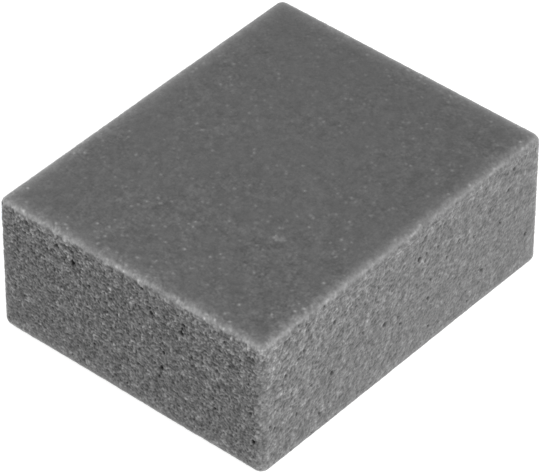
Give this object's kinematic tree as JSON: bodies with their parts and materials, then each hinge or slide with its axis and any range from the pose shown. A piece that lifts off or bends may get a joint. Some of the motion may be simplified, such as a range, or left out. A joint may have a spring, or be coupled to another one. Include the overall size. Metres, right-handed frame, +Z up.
{
  "type": "sanding block",
  "caption": "Rectangular foam sanding block with rounded edges, a fine grit coat on both broad faces and a medium grit coat on the narrow faces.",
  "frame": {"origin": "centre of the broad face that the block stands on", "axes": "+X along the block's length, +Y across its width towards the rear long side, +Z up through its thickness"},
  "size_m": [0.064, 0.0516, 0.025],
  "materials": {
    "foam": "resilient open-cell foam, matt, dark grey",
    "binder": "flexible resin film, dull, near black",
    "fine_grit": "fine abrasive grain in flexible resin, smooth and matt, dark grey",
    "medium_grit": "medium abrasive grain in flexible resin, granular, mid grey, with foam pores showing"
  },
  "bodies": {
    "root": {"foam_core": "foam", "binder_skin": "binder", "top_face_coat": "fine_grit", "bottom_face_coat": "fine_grit", "front_side_coat": "medium_grit", "rear_side_coat": "medium_grit", "left_end_coat": "medium_grit", "right_end_coat": "medium_grit"}
  },
  "joints": []
}
